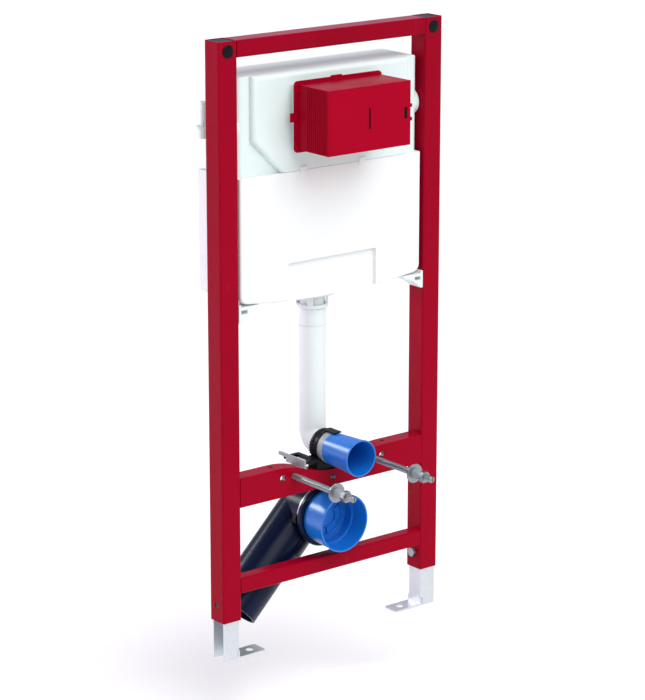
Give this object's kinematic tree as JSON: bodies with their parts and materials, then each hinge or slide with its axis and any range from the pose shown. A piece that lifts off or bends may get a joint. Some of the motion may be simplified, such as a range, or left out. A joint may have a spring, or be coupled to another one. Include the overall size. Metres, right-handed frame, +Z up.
{
  "type": "wall hung toilet frame",
  "caption": "Red tube frame on telescopic legs that carries a concealed cistern with service box, flush bend, swivelled waste bend and bowl studs.",
  "frame": {"origin": "on the flat rear face of the top rail, at its middle, which stands against the wall or the spacer", "axes": "+Z up, +Y from the front of the frame towards the wall, +X to the right as seen from the front"},
  "size_m": [0.5, 0.3065, 1.12],
  "materials": {
    "red_powder_coat": "satin powder coat",
    "galvanised_leg": "galvanised sheet",
    "zinc_steel": "zinc plated",
    "dark_steel": "dark oxide",
    "grey_nylon": "moulded nylon",
    "black_plastic": "moulded, fine grain",
    "white_shell": "smooth moulded shell",
    "mint_white_tank": "blow moulded, pale",
    "pale_bracket": "moulded",
    "red_plastic": "satin moulded",
    "white_pipe": "extruded, satin",
    "blue_cap": "moulded, glossy",
    "black_pipe": "extruded, satin"
  },
  "bodies": {
    "frame": {"bottom_rail": "red_powder_coat", "cistern_shell": "white_shell", "cistern_tank": "mint_white_tank", "flush_cap": "blue_cap", "flush_collar": "black_plastic", "flush_pipe": "white_pipe", "flush_saddle": "black_plastic", "flush_seal_ring": "grey_nylon", "inlet_fitting": "mint_white_tank", "left_cistern_bracket": "pale_bracket", "left_hole_plug": "black_plastic", "left_leg_bolt": "zinc_steel", "left_nut_plate": "dark_steel", "left_post": "red_powder_coat", "left_saddle_cheek": "grey_nylon", "left_shell_clip": "white_shell", "left_stud": "zinc_steel", "left_stud_nut": "zinc_steel", "left_stud_sleeve": "grey_nylon", "left_stud_washer": "zinc_steel", "left_top_cap": "black_plastic", "outlet_nut": "white_pipe", "rail_screw": "dark_steel", "right_cistern_bracket": "pale_bracket", "right_hole_plug": "black_plastic", "right_leg_bolt": "zinc_steel", "right_nut_plate": "dark_steel", "right_post": "red_powder_coat", "right_saddle_cheek": "grey_nylon", "right_shell_clip": "white_shell", "right_stud": "zinc_steel", "right_stud_nut": "zinc_steel", "right_stud_sleeve": "grey_nylon", "right_stud_washer": "zinc_steel", "right_top_cap": "black_plastic", "service_box": "red_plastic", "service_cover": "red_plastic", "strap_buckle": "black_plastic", "stud_rail": "red_powder_coat", "top_rail": "red_powder_coat", "waste_cap": "blue_cap", "waste_collar": "black_pipe", "waste_elbow": "black_pipe", "waste_pipe": "black_pipe", "waste_strap": "zinc_steel"},
    "left_leg": {"left_leg": "galvanised_leg"},
    "right_leg": {"right_leg": "galvanised_leg"}
  },
  "joints": [
    {"name": "left_leg_slide", "type": "slide", "parent": "frame", "child": "left_leg", "axis": [0, 0, -1], "range_m": [-0.065, 0.126]},
    {"name": "right_leg_slide", "type": "slide", "parent": "frame", "child": "right_leg", "axis": [0, 0, -1], "range_m": [-0.065, 0.126]}
  ]
}
